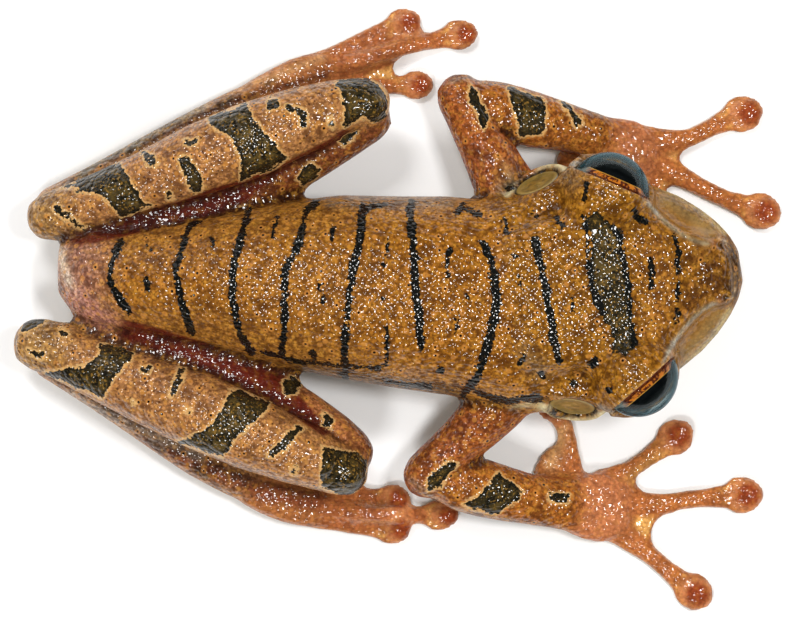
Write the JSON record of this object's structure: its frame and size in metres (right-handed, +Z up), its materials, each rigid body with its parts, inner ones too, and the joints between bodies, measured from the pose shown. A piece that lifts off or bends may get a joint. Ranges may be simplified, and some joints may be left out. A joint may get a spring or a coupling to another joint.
{
  "type": "tree frog model",
  "caption": "Life-size model of an Osteocephalus mutabor tree frog, crouched flat on its belly with the hind legs folded and the fingers spread.",
  "frame": {"origin": "on the floor, under the middle of the model's bounding box", "axes": "+X towards the head, +Y towards the frog's left side, +Z up from the floor"},
  "size_m": [0.0694, 0.0544, 0.0152],
  "materials": {
    "dorsal_skin": "wet, golden brown with dark cross-bars",
    "limb_skin": "moist, pinkish tan with dark olive bars",
    "thigh_skin": "wet, maroon brown",
    "hand_skin": "moist, reddish orange",
    "eye": "wet black eyeball with a rust-red iris",
    "eardrum": "thin moist membrane, olive yellow"
  },
  "bodies": {
    "root": {"torso": "dorsal_skin", "head": "dorsal_skin", "eye_left": "eye", "eye_right": "eye", "eardrum_left": "eardrum", "eardrum_right": "eardrum", "upper_arm_left": "limb_skin", "upper_arm_right": "limb_skin", "forearm_left": "limb_skin", "forearm_right": "limb_skin", "palm_left": "hand_skin", "palm_right": "hand_skin", "finger_1_left": "hand_skin", "finger_2_left": "hand_skin", "finger_3_left": "hand_skin", "finger_4_left": "hand_skin", "finger_1_right": "hand_skin", "finger_2_right": "hand_skin", "finger_3_right": "hand_skin", "finger_4_right": "hand_skin", "thigh_left": "thigh_skin", "thigh_right": "thigh_skin", "shank_left": "limb_skin", "shank_right": "limb_skin", "tarsus_left": "limb_skin", "tarsus_right": "limb_skin", "foot_left": "hand_skin", "foot_right": "hand_skin", "toe_1_left": "hand_skin", "toe_2_left": "hand_skin", "toe_3_left": "hand_skin", "toe_4_left": "hand_skin", "toe_5_left": "hand_skin", "toe_1_right": "hand_skin", "toe_2_right": "hand_skin", "toe_3_right": "hand_skin", "toe_4_right": "hand_skin", "toe_5_right": "hand_skin"}
  },
  "joints": []
}
